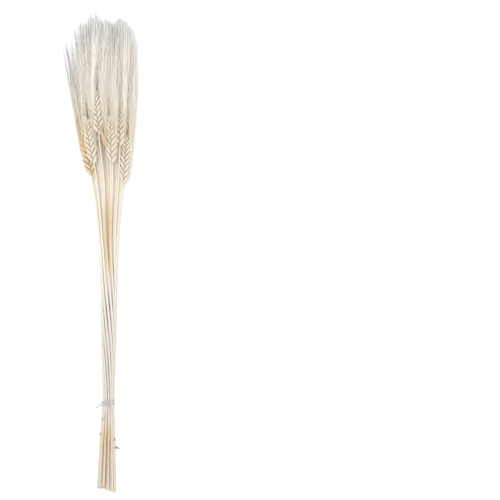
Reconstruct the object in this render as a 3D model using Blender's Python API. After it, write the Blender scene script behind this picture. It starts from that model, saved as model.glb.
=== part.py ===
"""Tied bunch of bleached bearded wheat, lying on a surface with its ears towards +Y.

Metres, +Z up. The origin is at the middle of the bunch's box, on the surface that it lies on.
"""

import math
import random
from collections import namedtuple

import bmesh
import bpy
import numpy as np
from mathutils import Matrix, Vector
from mathutils.bvhtree import BVHTree

MM = 0.001
SEED = 22
STALK_DRAWS = 40

# Straws stand in rings round one centre straw. A place is a point of the unit disc that the
# cross-section fills, and bunch_point carries it to any length along the bunch.
RING_COUNTS = (1, 6, 12)
EDGE_PITCHES = 0.5 / math.sin(math.pi / RING_COUNTS[-1]) + 0.5
PITCH_SHARE = 1 / EDGE_PITCHES

# Length along Y, half width, half height, centre x and centre z of the bunch, in millimetres
BUNCH_PROFILE = (
    (-345, 16.2, 10.4, 9.6, 9.15),
    (-290, 13.2, 9.6, 10.5, 8.4),
    (-214, 8.3, 8.3, 12.4, 10.0),
    (-120, 11.2, 9.6, 12.8, 11.0),
    (-10, 14.0, 11.8, 13.4, 12.0),
    (60, 21.0, 15.4, 13.2, 15.0),
    (105, 28.5, 19.6, 13.0, 19.1),
    (150, 37.5, 23.4, 10.0, 22.95),
    (205, 46.5, 25.6, 6.2, 24.95),
    (275, 51.0, 27.2, 0.8, 27.2),
    (300, 46.5, 27.7, 5.0, 27.8),
    (320, 40.5, 28.1, 10.5, 28.3),
    (345, 37.5, 28.6, 13.0, 29.0),
)
TWIST = math.radians(120)
TWIST_FROM = -240 * MM
TWIST_TO = 30 * MM

# Straw
SIDES = 6
RIGHT_FACE = SIDES - 1
LEFT_FACE = SIDES // 2 - 1
STRAW_RADII = ((-345, 1.5), (-214, 1.42), (0, 1.2), (180, 0.95))
BUTT_Y = -335 * MM
BUTT_SLANT = 3 * MM
BUTT_STAGGER = 2.6 * MM
RING_STEP = 42 * MM
BORE_RADIUS = 0.85 * MM
BORE_DEPTH = 6 * MM
JOINT_Y = -268 * MM
JOINT_STAGGER = 12 * MM
JOINT_SWELL = 1.22
JOINT_HALF_LENGTH = 3.5 * MM
SHRED_HALF_WIDTH = 1.3 * MM
SHRED_HALF_THICKNESS = 0.35 * MM
SHRED_RISE = 0.35

# Stalks that keep a shred of leaf sheath: length of the joint, reach outwards and fall of the tip, in mm
SHREDS = {8: (-265, 4.5, 5.0), 13: (-258, 3.2, 5.5), 19: (-278, 9.5, -0.5)}

# Ear. Each stalk's ear begins at its own length, in mm: the middle stalk, the inner ring and the outer
# ring, whose left-hand ears hang lowest.
EAR_BASES = (
    160,
    158, 155, 161, 156, 152, 138,
    118, 106, 108, 144, 156, 150, 136, 130, 98, 148, 124, 161,
)
EAR_STAGGER = 4 * MM
EAR_ROLL = math.radians(22)
EAR_WANDER = 0.03
SPIKELET_PAIRS = 8
PAIR_STEP = 8.4 * MM
TIP_TAPER = 0.28
RACHIS_HALF_SIDE = 1.0 * MM
RACHIS_HALF_FRONT = 0.8 * MM
BELLY_OUT = 4.1 * MM
BELLY_ALONG = 5.4 * MM
BELLY_HALF_DEPTH = 1.9 * MM
BELLY_HALF_WIDTH = 4.1 * MM
NECK_OUT = (6.6 * MM, 7.8 * MM)
NECK_ALONG = 12.2 * MM
NECK_FRONT = (0.8 * MM, 3.6 * MM)
LAST_SPIKELET_LENGTH = 12 * MM
LAST_SPIKELET_RADIUS = 2.2 * MM

# Awns
AWN_RADIUS = 0.45 * MM
AWN_GAP = 0.18 * MM
AWN_LENGTH_LOW = 132 * MM
AWN_LENGTH_TOP = 102 * MM
AWN_LENGTH_VARIES = 9 * MM
AWN_SPREAD = 1.7
AWN_WANDER = 0.05
AWN_WANDER_MORE = 0.003
AWN_EDGE = 1.06
AWN_TRIES = 200
AWN_SAMPLES = 100
FIRST_SAMPLE = 0.007
AWN_CHECKS = 9

# String tie
STRING_RADIUS = 0.55 * MM
STRING_GAP = 0.1 * MM
MERGE_DISTANCE = 0.0001 * MM
WRAP_POINTS = 18
WRAPS = ((-210.6, 1.4, 20), (-213.2, 1.6, 205), (-216.2, 1.7, 40))
KNOT_POINT = (12.4, -213.2, 20.8)
KNOT_RADIUS = 1.4 * MM
KNOT_POINTS = 10
LONG_TAIL = (
    (10.8, -209.4, 19.0),
    (12.0, -211.4, 20.5),
    (12.9, -215.0, 20.7),
    (14.6, -219.2, 19.6),
    (15.2, -223.0, 19.5),
    (12.6, -228.6, 19.7),
    (8.4, -232.6, 19.1),
    (2.5, -236.8, 15.9),
)
SHORT_TAIL = ((4.8, -211.9, 15.3), (1.6, -214.8, 14.2), (-1.8, -217.6, 12.4), (-5.2, -220.6, 10.2))


def stations(rows, y):
    """Values of a table at length y, on a smooth curve through its rows."""
    y = min(max(y / MM, rows[0][0]), rows[-1][0])
    low = max(i for i in range(len(rows) - 1) if rows[i][0] <= y)

    def slope(i, column):
        before, after = rows[max(i - 1, 0)], rows[min(i + 1, len(rows) - 1)]
        return (after[column] - before[column]) / (after[0] - before[0])

    span = rows[low + 1][0] - rows[low][0]
    t = (y - rows[low][0]) / span
    values = []
    for column in range(1, len(rows[0])):
        start, end = rows[low][column], rows[low + 1][column]
        leaving, arriving = slope(low, column) * span, slope(low + 1, column) * span
        bend = (2 * start - 2 * end + leaving + arriving) * t**3
        bend += (3 * end - 3 * start - 2 * leaving - arriving) * t**2
        values.append((start + leaving * t + bend) * MM)
    return values


def ease(t):
    t = min(max(t, 0), 1)
    return t * t * (3 - 2 * t)


def twist_at(y):
    return TWIST * ease((y - TWIST_FROM) / (TWIST_TO - TWIST_FROM))


def bunch_point(place, y):
    """The point at length y of a place in the unit disc."""
    half_width, half_height, centre_x, centre_z = stations(BUNCH_PROFILE, y)
    turned = place.copy()
    turned.rotate(Matrix.Rotation(twist_at(y), 2))
    return Vector((centre_x + half_width * turned.x, y, centre_z + half_height * turned.y))


def place_of(point):
    """The place in the unit disc that bunch_point carries to this point."""
    half_width, half_height, centre_x, centre_z = stations(BUNCH_PROFILE, point.y)
    place = Vector(((point.x - centre_x) / half_width, (point.z - centre_z) / half_height))
    place.rotate(Matrix.Rotation(-twist_at(point.y), 2))
    return place


def straw_places():
    """One place for each straw: a centre and rings whose straws stand a pitch apart."""
    places = []
    for ring, count in enumerate(RING_COUNTS):
        radius = PITCH_SHARE * 0.5 / math.sin(math.pi / count) if ring else 0
        for i in range(count):
            angle = math.tau * (i + 0.25 * ring) / count
            places.append(radius * Vector((math.cos(angle), math.sin(angle))))
    return places


Floret = namedtuple("Floret", "base neck core awn_length")


class Stalk:
    """One wheat stalk: its line through the bunch, and the mesh that grows along it."""

    def __init__(self, number, home, draw):
        self.random = random.Random(SEED * 100 + number + draw * 10000)
        self.number = number
        self.home = home
        self.bm = bmesh.new()
        self.florets = []
        self.roll = self.random.uniform(-EAR_ROLL, EAR_ROLL)
        angle = self.random.uniform(0, math.tau)
        self.wander = EAR_WANDER * Vector((math.cos(angle), math.sin(angle)))
        self.butt_y = BUTT_Y - BUTT_SLANT * self.rightness(BUTT_Y)
        self.butt_y += self.random.uniform(-BUTT_STAGGER, BUTT_STAGGER)
        self.joint_y = JOINT_Y + self.random.uniform(-JOINT_STAGGER, JOINT_STAGGER)
        if number in SHREDS:
            self.joint_y = SHREDS[number][0] * MM
        self.ear_y = EAR_BASES[number - 1] * MM + self.random.uniform(-EAR_STAGGER, EAR_STAGGER)

    def point(self, y):
        return bunch_point(self.home + self.wander * ease(y / (120 * MM)), y)

    def rightness(self, y):
        """How far right the stalk is at length y, from -1 at the bunch's left edge to 1."""
        half_width, _, centre_x, _ = stations(BUNCH_PROFILE, y)
        return (self.point(y).x - centre_x) / half_width

    def frame(self, y, roll=0.0):
        """Point, sideways, frontways and lengthways directions of the stalk at length y."""
        along = (self.point(y + MM) - self.point(y - MM)).normalized()
        side = along.cross(Vector((0, 0, 1))).normalized()
        side.rotate(Matrix.Rotation(roll, 3, along))
        return self.point(y), side, side.cross(along), along

    def vertices(self, points):
        return [self.bm.verts.new(point) for point in points]

    def ring(self, y, half_side, half_front, roll=0.0, stagger=0.0, turn=0.5):
        """Ring round the stalk at length y. Its left stands further along by the stagger."""
        centre, side, front, along = self.frame(y, roll)
        points = []
        for k in range(SIDES):
            angle = math.tau * (k + turn) / SIDES
            across = side * math.cos(angle) * half_side + front * math.sin(angle) * half_front
            points.append(centre + across + along * stagger * (1 - math.cos(angle)) / 2)
        return self.vertices(points)

    def band(self, lower, upper, left_open=()):
        """Faces between two rings, apart from the sides that are left open."""
        for k in range(len(lower)):
            n = (k + 1) % len(lower)
            if k not in left_open:
                self.bm.faces.new((lower[k], lower[n], upper[n], upper[k]))

    def gap(self, lower, upper, k):
        """The corners of the side that a band left open."""
        n = (k + 1) % len(lower)
        return [lower[k], lower[n], upper[n], upper[k]]

    def close_to_point(self, ring, tip):
        end = self.bm.verts.new(tip)
        for k in range(len(ring)):
            self.bm.faces.new((ring[k], ring[(k + 1) % len(ring)], end))

    def grow_straw(self):
        """Straw with a hollow cut end and one swollen joint. Returns its last ring."""
        joint_ys = [self.joint_y + shift for shift in (-JOINT_HALF_LENGTH, 0, JOINT_HALF_LENGTH)]
        count = math.ceil((self.ear_y - joint_ys[-1]) / RING_STEP)
        step = (self.ear_y - joint_ys[-1]) / count
        rings = []
        for y in [self.butt_y, *joint_ys, *(joint_ys[-1] + step * k for k in range(1, count))]:
            (radius,) = stations(STRAW_RADII, y)
            radius *= JOINT_SWELL if y == self.joint_y else 1
            rings.append(self.ring(y, radius, radius, turn=0))
        mouth = self.ring(self.butt_y, BORE_RADIUS, BORE_RADIUS, turn=0)
        floor = self.ring(self.butt_y + BORE_DEPTH, BORE_RADIUS, BORE_RADIUS, turn=0)
        self.band(floor, mouth)
        self.band(mouth, rings[0])
        self.bm.faces.new(floor)
        for k, (lower, upper) in enumerate(zip(rings, rings[1:])):
            if k == 2 and self.number in SHREDS:
                hand = math.copysign(1, self.rightness(self.joint_y))
                face = RIGHT_FACE if hand > 0 else LEFT_FACE
                self.band(lower, upper, (face,))
                self.grow_shred(self.gap(lower, upper, face), hand)
            else:
                self.band(lower, upper)
        return rings[-1]

    def grow_shred(self, root, hand):
        """Curled shred of dry leaf sheath, which stands out from the joint to the right or left."""
        _, reach, fall = SHREDS[self.number]
        centre = sum((vertex.co for vertex in root), Vector()) / 4
        last = root
        for share in (0.5, 1.0):
            middle = centre + Vector((hand * reach * share, -fall * share**2, SHRED_RISE * reach * share)) * MM
            half_width = SHRED_HALF_WIDTH * (1.2 - 0.8 * share)
            thin = Vector((-hand * 0.5, 0, 0.8)) * SHRED_HALF_THICKNESS
            corners = []
            for vertex in root:
                wide = Vector((0, math.copysign(half_width, vertex.co.y - centre.y), 0))
                corners.append(middle + wide + thin * math.copysign(1, vertex.co.z - centre.z))
            corners = self.vertices(corners)
            self.band(last, corners)
            last = corners
        self.bm.faces.new(last)

    def grow_ear(self, neck_ring):
        """Ear of alternating spikelets on a slim rachis, with one more at its end."""
        y = self.ear_y
        step = PAIR_STEP
        lower = self.ring(y, RACHIS_HALF_SIDE, RACHIS_HALF_FRONT, self.roll, step / 2)
        self.band(neck_ring, lower)
        for pair in range(SPIKELET_PAIRS):
            share = (pair + 0.5) / SPIKELET_PAIRS
            size = 1 - TIP_TAPER * share**2
            step = PAIR_STEP * size
            taper = 1 - 0.4 * share
            upper = self.ring(
                y + step, RACHIS_HALF_SIDE * taper, RACHIS_HALF_FRONT * taper, self.roll, step / 2
            )
            self.band(lower, upper, (RIGHT_FACE, LEFT_FACE))
            self.grow_spikelet(self.gap(lower, upper, RIGHT_FACE), y + step * 0.5, size, 1, share)
            self.grow_spikelet(self.gap(lower, upper, LEFT_FACE), y + step, size, -1, share)
            lower = upper
            y += step
        y += step / 2
        for share, radius in ((0.4, LAST_SPIKELET_RADIUS), (1.0, AWN_RADIUS)):
            upper = self.ring(y + LAST_SPIKELET_LENGTH * share, radius, radius, self.roll)
            self.band(lower, upper)
            lower = upper
        neck, _, _, along = self.frame(y + LAST_SPIKELET_LENGTH)
        self.last_awn = (neck, neck + along * AWN_LENGTH_TOP)
        self.close_to_point(lower, self.last_awn[1])

    def grow_spikelet(self, root, y, size, hand, share):
        """Spikelet on the right (hand 1) or left (-1): a belly that forks into two awned husks."""
        centre, side, front, along = self.frame(y, self.roll)
        out, front = side * hand, front * hand
        middle = centre + (out * BELLY_OUT + along * BELLY_ALONG) * size
        tilted = (out * 0.94 - along * 0.34) * BELLY_HALF_DEPTH * size
        wide = front * BELLY_HALF_WIDTH * size
        outer, near, inner, far = belly = self.vertices(
            [middle + tilted, middle + wide, middle - tilted, middle - wide]
        )
        self.band(root, belly)
        length = AWN_LENGTH_LOW + (AWN_LENGTH_TOP - AWN_LENGTH_LOW) * share
        for loop, lean in (([outer, near, inner], 1), ([inner, far, outer], -1)):
            core = centre + along * NECK_ALONG * size
            shift = out * self.random.uniform(*NECK_OUT) + front * self.random.uniform(*NECK_FRONT) * lean
            neck = core + shift * size
            corners = []
            for degrees in (-30, 90, 210):
                angle = math.radians(degrees)
                corners.append(neck + (out * math.cos(angle) + front * math.sin(angle)) * AWN_RADIUS * lean)
            base = self.vertices(corners)
            self.band(loop, base)
            varied = length + self.random.uniform(-AWN_LENGTH_VARIES, AWN_LENGTH_VARIES)
            self.florets.append(Floret(base, neck, core, varied))

    def finish(self, material):
        """Makes the stalk's object. What would sink into the surface is pressed flat on it."""
        for vertex in self.bm.verts:
            vertex.co.z = max(vertex.co.z, 0)
        bmesh.ops.recalc_face_normals(self.bm, faces=self.bm.faces)
        mesh = bpy.data.meshes.new(f"wheat_stalk_{self.number:02d}")
        self.bm.to_mesh(mesh)
        self.bm.free()
        mesh.materials.append(material)
        stalk = bpy.data.objects.new(mesh.name, mesh)
        bpy.context.scene.collection.objects.link(stalk)
        return stalk


class AwnRoom:
    """What a new awn keeps clear of: the bodies of all the stalks, and the awns grown so far."""

    def __init__(self, stalks):
        points, faces = [], []
        for stalk in stalks:
            stalk.bm.verts.index_update()
            faces += [[len(points) + vertex.index for vertex in face.verts] for face in stalk.bm.faces]
            points += [vertex.co.copy() for vertex in stalk.bm.verts]
        self.bodies = BVHTree.FromPolygons(points, faces)
        self.starts = [tuple(stalk.last_awn[0]) for stalk in stalks]
        self.ends = [tuple(stalk.last_awn[1]) for stalk in stalks]

    def clear_of_bodies(self, neck, tip):
        own = tip - neck
        if self.bodies.ray_cast(neck + own * FIRST_SAMPLE, own.normalized(), own.length)[0] is not None:
            return False
        for k in range(AWN_SAMPLES):
            share = FIRST_SAMPLE + (1 - FIRST_SAMPLE) * k / (AWN_SAMPLES - 1)
            reach = AWN_RADIUS * (1 - share) + AWN_GAP
            if self.bodies.find_nearest(neck.lerp(tip, share), reach)[0] is not None:
                return False
        return True

    def clear_of_awns(self, neck, tip):
        starts, others = np.array(self.starts), np.array(self.ends) - np.array(self.starts)
        own, between = np.array(tip - neck), np.array(neck) - starts
        own_squared, others_squared = own @ own, (others * others).sum(1)
        both, own_part, others_part = others @ own, between @ own, (others * between).sum(1)
        nearest = (both * others_part - others_squared * own_part) / (own_squared * others_squared - both**2)
        for share in (nearest, *np.linspace(0, 1, AWN_CHECKS)):
            share = np.clip(share, 0, 1) * np.ones(len(starts))
            other_share = np.clip((both * share + others_part) / others_squared, 0, 1)
            apart = between + share[:, None] * own - other_share[:, None] * others
            gaps = np.linalg.norm(apart, axis=1) - AWN_RADIUS * (2 - share - other_share)
            if gaps.min() < AWN_GAP:
                return False
        return True

    def take_tip(self, floret, rng):
        """The first clear tip of the tries. Each try may stray further from a straight awn."""
        neck = floret.neck
        start = place_of(neck)
        start += (start - place_of(floret.core)) * (AWN_SPREAD - 1)
        for tried in range(AWN_TRIES):
            angle = rng.uniform(0, math.tau)
            stray = AWN_WANDER + AWN_WANDER_MORE * tried * rng.random()
            place = start + Vector((math.cos(angle), math.sin(angle))) * stray
            if place.length > AWN_EDGE:
                place *= AWN_EDGE / place.length
            tip = bunch_point(place, neck.y + floret.awn_length)
            tip.z = max(tip.z, AWN_GAP)
            if self.clear_of_bodies(neck, tip) and self.clear_of_awns(neck, tip):
                self.starts.append(tuple(neck))
                self.ends.append(tuple(tip))
                return tip
        return None


def plant(number, home, trees):
    """The first draw of a stalk that stands clear of the trees of those already grown."""
    for draw in range(STALK_DRAWS):
        stalk = Stalk(number, home, draw)
        stalk.grow_ear(stalk.grow_straw())
        tree = BVHTree.FromBMesh(stalk.bm)
        if not any(tree.overlap(other) for other in trees):
            return stalk, tree
        stalk.bm.free()
    raise ValueError(f"no room for stalk {number}")


def grow_awns(stalks):
    """Grows the awns, from the highest floret down. A floret with no room ends in a blunt beak."""
    room = AwnRoom(stalks)
    florets = [(stalk, floret) for stalk in stalks for floret in stalk.florets]
    florets.sort(key=lambda pair: -pair[1].neck.y)
    for stalk, floret in florets:
        tip = room.take_tip(floret, stalk.random)
        if tip is None:
            stalk.bm.faces.new(floret.base)
        else:
            stalk.close_to_point(floret.base, tip)


def matt_material(name, colour, roughness):
    material = bpy.data.materials.new(name)
    material.use_nodes = True
    shader = material.node_tree.nodes["Principled BSDF"]
    shader.inputs["Base Color"].default_value = (*colour, 1)
    shader.inputs["Roughness"].default_value = roughness
    shader.inputs["Metallic"].default_value = 0
    return material


def string_tube(points, closed=False):
    """String through the points, as a mesh object with capped ends."""
    curve = bpy.data.curves.new("string", "CURVE")
    curve.dimensions = "3D"
    curve.bevel_depth = STRING_RADIUS
    curve.bevel_resolution = 1
    curve.use_fill_caps = True
    spline = curve.splines.new("POLY")
    spline.points.add(len(points) - 1)
    for spline_point, point in zip(spline.points, points):
        spline_point.co = (*point, 1)
    spline.use_cyclic_u = closed
    tube = bpy.data.objects.new("string", curve)
    bpy.context.scene.collection.objects.link(tube)
    return tube


def as_mesh_object(name, source):
    """A mesh object that has the source's finished shape, in place of the source."""
    graph = bpy.context.evaluated_depsgraph_get()
    mesh = bpy.data.meshes.new_from_object(source.evaluated_get(graph))
    mesh.name = name
    bm = bmesh.new()
    bm.from_mesh(mesh)
    bmesh.ops.remove_doubles(bm, verts=bm.verts, dist=MERGE_DISTANCE)
    bmesh.ops.recalc_face_normals(bm, faces=bm.faces)
    bm.to_mesh(mesh)
    bm.free()
    bpy.data.objects.remove(source)
    result = bpy.data.objects.new(name, mesh)
    bpy.context.scene.collection.objects.link(result)
    return result


def wrap_points(y_mm, slant_mm, phase):
    """Closed turn of string round the straws, slanted across them."""
    points = []
    for k in range(WRAP_POINTS):
        angle = math.tau * k / WRAP_POINTS
        y = (y_mm + slant_mm * math.cos(angle - math.radians(phase))) * MM
        half_width, half_height, centre_x, centre_z = stations(BUNCH_PROFILE, y)
        clear = STRING_RADIUS + STRING_GAP
        x = centre_x + (half_width + clear) * math.cos(angle)
        points.append((x, y, centre_z + (half_height + clear) * math.sin(angle)))
    return points


def knot_points():
    """Collar of the knot: a small closed turn round the start of the long tail."""
    along = (Vector(LONG_TAIL[2]) - Vector(LONG_TAIL[1])).normalized()
    across = along.cross(Vector((0, 0, 1))).normalized()
    up = across.cross(along)
    points = []
    for k in range(KNOT_POINTS):
        angle = math.tau * k / KNOT_POINTS
        offset = across * math.cos(angle) * 1.1 + up * math.sin(angle)
        points.append(Vector(KNOT_POINT) * MM + offset * KNOT_RADIUS)
    return points


def smooth_route(route, per_span=2):
    """Points in metres on a smooth curve through a route in millimetres."""
    rows = [(10 * k, *point) for k, point in enumerate(route)]
    count = (len(route) - 1) * per_span
    return [Vector(stations(rows, 10 * MM * k / per_span)) for k in range(count + 1)]


def tie_string(material):
    """The tie: turns of string, a knot and two tails, joined in one solid."""
    pieces = [string_tube(wrap_points(*wrap), closed=True) for wrap in WRAPS]
    pieces.append(string_tube(knot_points(), closed=True))
    pieces += [string_tube(smooth_route(tail)) for tail in (LONG_TAIL, SHORT_TAIL)]
    base, *others = [as_mesh_object("string_piece", piece) for piece in pieces]
    collection = bpy.data.collections.new("string_pieces")
    bpy.context.scene.collection.children.link(collection)
    for piece in others:
        bpy.context.scene.collection.objects.unlink(piece)
        collection.objects.link(piece)
    union = base.modifiers.new("union", "BOOLEAN")
    union.operation = "UNION"
    union.operand_type = "COLLECTION"
    union.collection = collection
    union.solver = "MANIFOLD"
    tie = as_mesh_object("string_tie", base)
    for piece in others:
        bpy.data.objects.remove(piece)
    bpy.data.collections.remove(collection)
    tie.data.materials.clear()
    tie.data.materials.append(material)
    return tie


def centre_bunch(pieces):
    """Moves the meshes so that the middle of their box stands over the origin."""
    points = [vertex.co for piece in pieces for vertex in piece.data.vertices]
    middle = [(min(point[i] for point in points) + max(point[i] for point in points)) / 2 for i in (0, 1)]
    for piece in pieces:
        piece.data.transform(Matrix.Translation((-middle[0], -middle[1], 0)))


def main():
    for obj in list(bpy.data.objects):
        bpy.data.objects.remove(obj)
    straw = matt_material("bleached_straw", (0.86, 0.78, 0.64), 0.6)
    cotton = matt_material("cotton_string", (0.84, 0.83, 0.8), 0.9)
    stalks, trees = [], []
    for number, home in enumerate(straw_places(), start=1):
        stalk, tree = plant(number, home, trees)
        stalks.append(stalk)
        trees.append(tree)
    grow_awns(stalks)
    pieces = [stalk.finish(straw) for stalk in stalks]
    pieces.append(tie_string(cotton))
    centre_bunch(pieces)


main()
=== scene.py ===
import math
import random
from functools import partial

import bpy
from mathutils import Matrix, Vector


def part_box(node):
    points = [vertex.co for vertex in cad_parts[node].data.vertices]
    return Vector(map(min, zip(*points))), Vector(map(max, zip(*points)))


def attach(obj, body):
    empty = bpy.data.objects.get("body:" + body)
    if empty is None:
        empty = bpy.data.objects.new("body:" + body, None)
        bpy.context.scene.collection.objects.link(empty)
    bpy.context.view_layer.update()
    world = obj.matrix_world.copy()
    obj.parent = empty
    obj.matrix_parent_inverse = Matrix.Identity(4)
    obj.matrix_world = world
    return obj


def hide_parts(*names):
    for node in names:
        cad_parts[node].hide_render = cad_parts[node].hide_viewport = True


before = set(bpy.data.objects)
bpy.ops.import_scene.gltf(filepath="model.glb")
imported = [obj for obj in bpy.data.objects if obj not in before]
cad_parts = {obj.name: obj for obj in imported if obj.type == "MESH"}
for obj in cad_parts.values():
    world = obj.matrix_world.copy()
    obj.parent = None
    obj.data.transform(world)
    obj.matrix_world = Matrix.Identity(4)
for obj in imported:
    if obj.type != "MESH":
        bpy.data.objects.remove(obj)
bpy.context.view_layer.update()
mm = 0.001
upward = Vector((0, 0, 1))


# How the bunch is laid out. These are the sizes that the CAD stalks follow.

bunch = {
    "seed": 22,
    "draws": 40,  # most draws of the dice that the CAD may have made for a stalk
    "ringCounts": (1, 6, 12),  # straws in each ring round the middle
    "profile": (  # along Y, half width, half height, centre x, centre z
        (-345, 16.2, 10.4, 9.6, 9.15),
        (-290, 13.2, 9.6, 10.5, 8.4),
        (-214, 8.3, 8.3, 12.4, 10.0),
        (-120, 11.2, 9.6, 12.8, 11.0),
        (-10, 14.0, 11.8, 13.4, 12.0),
        (60, 21.0, 15.4, 13.2, 15.0),
        (105, 28.5, 19.6, 13.0, 19.1),
        (150, 37.5, 23.4, 10.0, 22.95),
        (205, 46.5, 25.6, 6.2, 24.95),
        (275, 51.0, 27.2, 0.8, 27.2),
        (300, 46.5, 27.7, 5.0, 27.8),
        (320, 40.5, 28.1, 10.5, 28.3),
        (345, 37.5, 28.6, 13.0, 29.0),
    ),
    "twist": math.radians(120),
    "twistOver": (-240, 30),
    "middle": Vector((-1.17984, -0.28354, 0)),  # how far the CAD bunch was moved to stand over the origin
}

straw = {
    "radii": ((-345, 1.5), (-214, 1.42), (-120, 1.58), (-10, 1.58), (60, 1.32), (120, 1.1), (180, 0.95)),
    "buttY": -335,
    "buttSlant": 3,
    "buttStagger": 2.6,
    "jointY": -268,
    "jointStagger": 12,
    "boreRadius": 0.85,
    "cutLean": 0.35,  # most that the cut slants
    "wander": 0.03,
    "wanderOver": (0, 120),
    "oval": 0.05,
    "earStain": 0.12,  # how much a straw darkens towards its ear
    "earStainOver": (60, 140),
    "sides": 14,
    "rows": 100,  # rings along each strand
}

ear = {
    "bases": (160, 158, 155, 161, 156, 152, 138, 118, 106, 108, 144, 156, 150, 136, 130, 98, 148, 124, 161),
    "stagger": 4,
    "roll": math.radians(22),
    "pairs": 8,
    "pairStep": 8.4,
    "tipTaper": 0.28,
    "neckOut": (6.6, 7.8),
    "neckAlong": 12.2,
    "neckFront": (0.8, 3.6),
    "lastLength": 12,
    "rachisRadius": 0.9,
    "rachisTaper": 0.45,
    "rachisZigzag": 0.35,
    "lastRachis": ((0, 0.75), (4, 0.7), (9, 0.5)),  # height in the last spikelet, radius
    "lastRachisEnd": 12.5,
}

awns = {
    "shortest": 60,
    "sameWithin": 0.6,  # how near a CAD awn starts to the husk that it belongs to
    "lengthLow": 132,
    "lengthTop": 102,
    "lengthVaries": 9,
    "stray": 0.28,
    "edge": 1.03,
    "radius": 0.34,
    "fineRadius": 0.25,
    "bow": 1.5,  # most sway of a fine awn at its middle
    "mainBow": 0.9,
    "toneVaries": 0.15,
    "arch": 2.4,  # how far an awn rises at its middle, clear of the husks above it
    "tuck": 1.0,  # how far an awn starts inside its husk
    "fineShare": (0.92, 1.3),  # length of a fine awn against a main one
    "fineSpread": (0.1, 1.5),  # distance from its ear's axis at the tip, against that at the root
    "fineCount": 12,
    "middleCount": 4,
    "tipCount": 5,
    "crown": (  # across the bunch, and how far up the tips reach there
        (-56, 302), (-47, 300), (-40, 307), (-35, 317), (-30, 335), (-21, 341), (-12, 342), (-3, 338),
        (3, 328), (10, 330), (17, 328), (26, 333), (36, 333), (42, 325), (49, 319), (53, 303), (56, 277),
    ),
    "crownDepth": 7,  # how far below it a fine tip may end
    "mainDepth": 5,
    "combPitch": 3.7,
    "combDepth": 10,
    "combSkew": 1.6,  # the higher, the more of the points reach the crown
    "crownSkew": 1.5,
    "combGather": (0.6, 1.0),  # how far a tip moves to its point of the comb
    "fanFrom": -29,  # left of here, the tips stand apart in strands
    "fanMain": 0.75,  # share of the main and of the fine awns that stay there
    "fanFine": 0.04,
    "fanFeet": 140,  # how far up the bunch the fan's awns start
    "fanLean": (1.05, 1.9),  # how far the others lean inwards, against their place beyond the fan's start
    "fanLift": 0.7,  # most that they close up to the crown
    "fanStrands": (-53, -47.5, -40.5, -34.8, -31.2),
    "strandHalf": 0.3,
}


def valuesAt(rows, y):
    # A table's values at length y, on a smooth curve through its rows
    y = min(max(y, rows[0][0]), rows[-1][0])
    low = max(i for i in range(len(rows) - 1) if rows[i][0] <= y)

    def slope(i, column):
        before, after = rows[max(i - 1, 0)], rows[min(i + 1, len(rows) - 1)]
        return (after[column] - before[column]) / (after[0] - before[0])

    span = rows[low + 1][0] - rows[low][0]
    t = (y - rows[low][0]) / span
    values = []
    for column in range(1, len(rows[0])):
        start, end = rows[low][column], rows[low + 1][column]
        leaving, arriving = slope(low, column) * span, slope(low + 1, column) * span
        bend = (2 * start - 2 * end + leaving + arriving) * t**3
        bend += (3 * end - 3 * start - 2 * leaving - arriving) * t**2
        values.append(start + leaving * t + bend)
    return values


def ease(value, start, end):
    # From 0 at start to 1 at end, smoothly
    t = min(max((value - start) / (end - start), 0), 1)
    return t * t * (3 - 2 * t)


def twistAt(y):
    return bunch["twist"] * ease(y, *bunch["twistOver"])


def bunchPoint(place, y):
    # A place in the unit disc, carried to length y of the bunch
    halfWidth, halfHeight, centreX, centreZ = valuesAt(bunch["profile"], y)
    turned = place.copy()
    turned.rotate(Matrix.Rotation(twistAt(y), 2))
    return Vector((centreX + halfWidth * turned.x, y, centreZ + halfHeight * turned.y))


def placeOf(point):
    # The place in the unit disc that bunchPoint carries to this point
    halfWidth, halfHeight, centreX, centreZ = valuesAt(bunch["profile"], point.y)
    place = Vector(((point.x - centreX) / halfWidth, (point.z - centreZ) / halfHeight))
    place.rotate(Matrix.Rotation(-twistAt(point.y), 2))
    return place


def strawPlaces():
    pitch = 1 / (0.5 / math.sin(math.pi / bunch["ringCounts"][-1]) + 0.5)
    places = []
    for ring, count in enumerate(bunch["ringCounts"]):
        radius = pitch * 0.5 / math.sin(math.pi / count) if ring else 0
        for i in range(count):
            angle = math.tau * (i + 0.25 * ring) / count
            places.append(radius * Vector((math.cos(angle), math.sin(angle))))
    return places


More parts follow.
